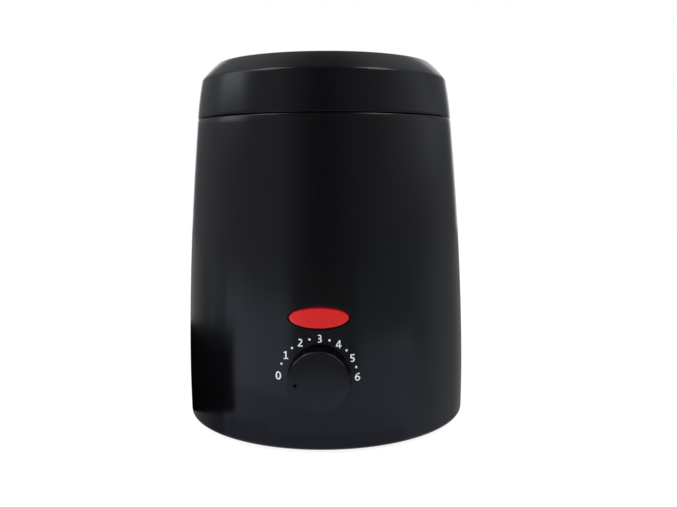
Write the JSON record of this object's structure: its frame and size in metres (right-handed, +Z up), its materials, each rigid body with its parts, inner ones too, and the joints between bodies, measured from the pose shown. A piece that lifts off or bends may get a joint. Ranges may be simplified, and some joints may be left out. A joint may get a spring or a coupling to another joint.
{
  "type": "wax heater",
  "caption": "Countertop wax heater: tapered black housing with a dial knob and a red signal lens, a heated well, a lift-out pot with a wire bail, and a lift-off lid.",
  "frame": {"origin": "on the axis of the pot, at the level of the table that the feet stand on", "axes": "+Z up along the axis of the pot, -Y towards the front with the knob, +X to the right seen from the front"},
  "size_m": [0.1288, 0.1362, 0.161],
  "materials": {
    "housing_plastic": "satin black moulded plastic",
    "lid_plastic": "satin black moulded plastic",
    "knob_plastic": "satin black moulded plastic",
    "dark_plastic": "matt black moulded plastic",
    "dial_print": "white printed ink",
    "lens_red": "red signal lens",
    "rubber": "black rubber feet",
    "aluminium": "spun aluminium",
    "steel": "zinc-plated steel",
    "copper": "drawn copper",
    "lamp_glass": "clear glass",
    "mica": "pressed mica wrap",
    "ceramic": "white steatite and nylon",
    "blue_lead": "blue silicone insulation",
    "brown_lead": "brown silicone insulation"
  },
  "bodies": {
    "housing": {"housing": "housing_plastic", "top_collar": "dark_plastic", "collar_screw_1": "steel", "collar_screw_2": "steel", "collar_screw_3": "steel", "heating_well": "aluminium", "thermostat_body": "ceramic", "thermostat_nut": "steel", "thermostat_washer": "steel", "capillary_tube": "copper", "sensor_bulb": "copper", "bulb_clip": "steel", "bulb_clip_screw": "steel", "heater_band": "mica", "clamp_strap": "steel", "clamp_screw": "steel", "clamp_nut": "steel", "thermal_fuse": "ceramic", "fuse_clip": "steel", "fuse_clip_screw": "steel", "indicator_lens": "lens_red", "lamp_holder": "dark_plastic", "neon_lamp": "lamp_glass", "mains_inlet": "dark_plastic", "inlet_pin_live": "steel", "inlet_pin_neutral": "steel", "terminal_block": "ceramic", "terminal_block_screw": "steel", "base_plate": "dark_plastic", "base_screw_1": "steel", "base_screw_2": "steel", "base_screw_3": "steel", "base_screw_4": "steel", "foot_1": "rubber", "foot_2": "rubber", "foot_3": "rubber", "foot_4": "rubber", "wire_inlet_live": "brown_lead", "wire_inlet_neutral": "blue_lead", "wire_live_thermostat": "brown_lead", "wire_thermostat_fuse": "brown_lead", "wire_fuse_band": "brown_lead", "wire_band_neutral": "blue_lead", "lamp_lead_live": "brown_lead", "lamp_lead_neutral": "blue_lead"},
    "pot": {"pot": "aluminium"},
    "bail": {"bail": "steel"},
    "lid": {"lid": "lid_plastic"},
    "knob": {"control_knob": "knob_plastic", "thermostat_shaft": "steel"}
  },
  "joints": [
    {"name": "pot_lift", "type": "slide", "parent": "housing", "child": "pot", "axis": [0, 0, 1], "range_m": [0, 0.07]},
    {"name": "lid_lift", "type": "slide", "parent": "pot", "child": "lid", "axis": [0, 0, 1], "range_m": [0, 0.1]},
    {"name": "bail_swing", "type": "hinge", "parent": "pot", "child": "bail", "pos_m": [0, 0, 0.1361], "axis": [1, 0, 0], "range_deg": [0, 180]},
    {"name": "knob_turn", "type": "hinge", "parent": "housing", "child": "knob", "pos_m": [0, -0.068, 0.0319], "axis": [0, 1, 0], "range_deg": [0, 187]}
  ],
  "couplings": [
    {"joint": "bail_swing", "follows": "lid_lift", "rad_per_m": 31.4}
  ]
}
